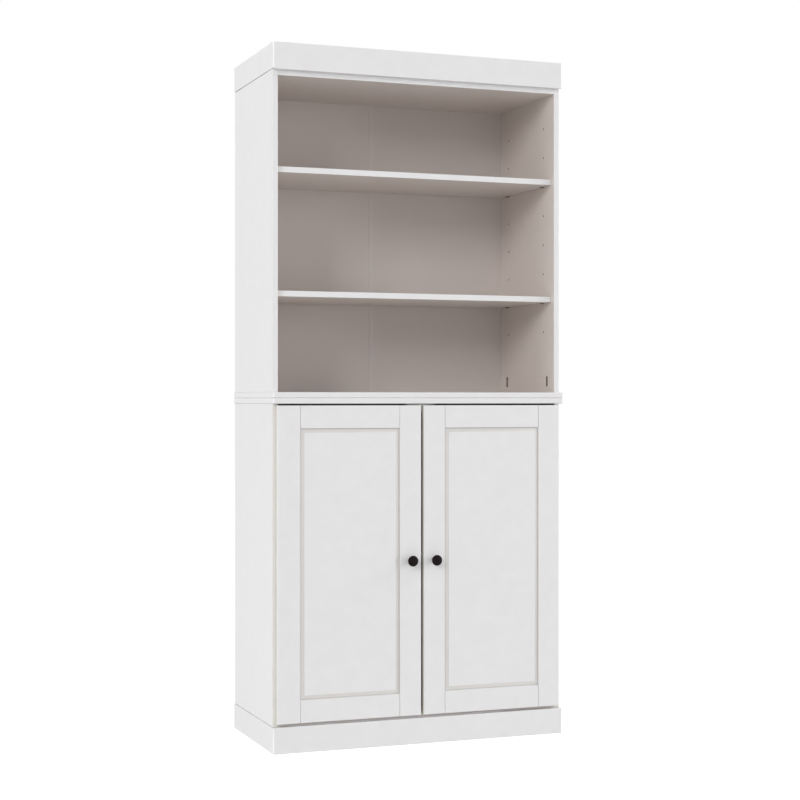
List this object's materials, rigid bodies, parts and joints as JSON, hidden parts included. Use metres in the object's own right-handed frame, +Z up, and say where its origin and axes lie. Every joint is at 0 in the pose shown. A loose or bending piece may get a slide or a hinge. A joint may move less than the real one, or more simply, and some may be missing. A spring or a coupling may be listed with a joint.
{
  "type": "bookcase cabinet",
  "caption": "White two-piece bookcase: an open hutch with shelves, under a plain crown, stands on a cupboard with framed panel doors and round black knobs.",
  "frame": {"origin": "middle of the footprint on the floor, with the knobs counted in the depth", "axes": "+X along the width to the viewer's right, +Y from the doors to the back, +Z up"},
  "size_m": [0.8216, 0.4116, 1.8288],
  "materials": {
    "white_paint_on_wood": "satin white lacquer over solid pine",
    "bare_pine": "bare, planed",
    "back_hardboard": "satin white face on thin hardboard",
    "joiner_plastic": "extruded, matt white",
    "bronze_pin": "dark bronze",
    "screw_steel": "zinc plated",
    "zinc_steel": "zinc plated sheet",
    "catch_plastic": "moulded, white",
    "magnet": "sintered, dark grey",
    "bumper_rubber": "clear soft dots",
    "nickel_steel": "nickel plated",
    "black_knob": "satin black"
  },
  "bodies": {
    "case": {"plinth_front": "white_paint_on_wood", "plinth_left_return": "white_paint_on_wood", "plinth_right_return": "white_paint_on_wood", "plinth_back_rail": "white_paint_on_wood", "crown_front": "white_paint_on_wood", "crown_left_return": "white_paint_on_wood", "crown_right_return": "white_paint_on_wood", "crown_back_rail": "white_paint_on_wood", "corner_blocks": "bare_pine", "base_left_side": "white_paint_on_wood", "base_right_side": "white_paint_on_wood", "base_bottom_board": "white_paint_on_wood", "base_top_board": "white_paint_on_wood", "base_shelf": "white_paint_on_wood", "base_back_left": "back_hardboard", "base_back_right": "back_hardboard", "base_back_joiner": "joiner_plastic", "hutch_left_side": "white_paint_on_wood", "hutch_right_side": "white_paint_on_wood", "hutch_bottom_board": "white_paint_on_wood", "hutch_top_board": "white_paint_on_wood", "lower_hutch_shelf": "white_paint_on_wood", "upper_hutch_shelf": "white_paint_on_wood", "hutch_back_left": "back_hardboard", "hutch_back_right": "back_hardboard", "hutch_back_joiner": "joiner_plastic", "shelf_pins": "bronze_pin", "case_screws": "screw_steel", "stacking_screws": "screw_steel", "back_nails": "screw_steel", "hardware_screws": "screw_steel", "wall_bracket": "zinc_steel", "magnetic_catch": "catch_plastic", "catch_magnets": "magnet", "door_bumpers": "bumper_rubber", "left_hinge_arms": "nickel_steel", "right_hinge_arms": "nickel_steel", "hinge_plates": "nickel_steel"},
    "left_door": {"left_hinge_stile": "white_paint_on_wood", "left_meeting_stile": "white_paint_on_wood", "left_top_rail": "white_paint_on_wood", "left_bottom_rail": "white_paint_on_wood", "left_panel": "white_paint_on_wood", "left_knob": "black_knob", "left_knob_screw": "screw_steel", "left_hinge_cups": "nickel_steel", "left_hinge_pins": "nickel_steel", "left_door_screws": "screw_steel", "left_strike_plate": "zinc_steel"},
    "right_door": {"right_hinge_stile": "white_paint_on_wood", "right_meeting_stile": "white_paint_on_wood", "right_top_rail": "white_paint_on_wood", "right_bottom_rail": "white_paint_on_wood", "right_panel": "white_paint_on_wood", "right_knob": "black_knob", "right_knob_screw": "screw_steel", "right_hinge_cups": "nickel_steel", "right_hinge_pins": "nickel_steel", "right_door_screws": "screw_steel", "right_strike_plate": "zinc_steel"}
  },
  "joints": [
    {"name": "left_door_hinge", "type": "hinge", "parent": "case", "child": "left_door", "pos_m": [-0.3911, -0.17505, 0.4855], "axis": [0, 0, -1], "range_deg": [0, 100]},
    {"name": "right_door_hinge", "type": "hinge", "parent": "case", "child": "right_door", "pos_m": [0.3911, -0.17505, 0.4855], "axis": [0, 0, 1], "range_deg": [0, 100]}
  ]
}
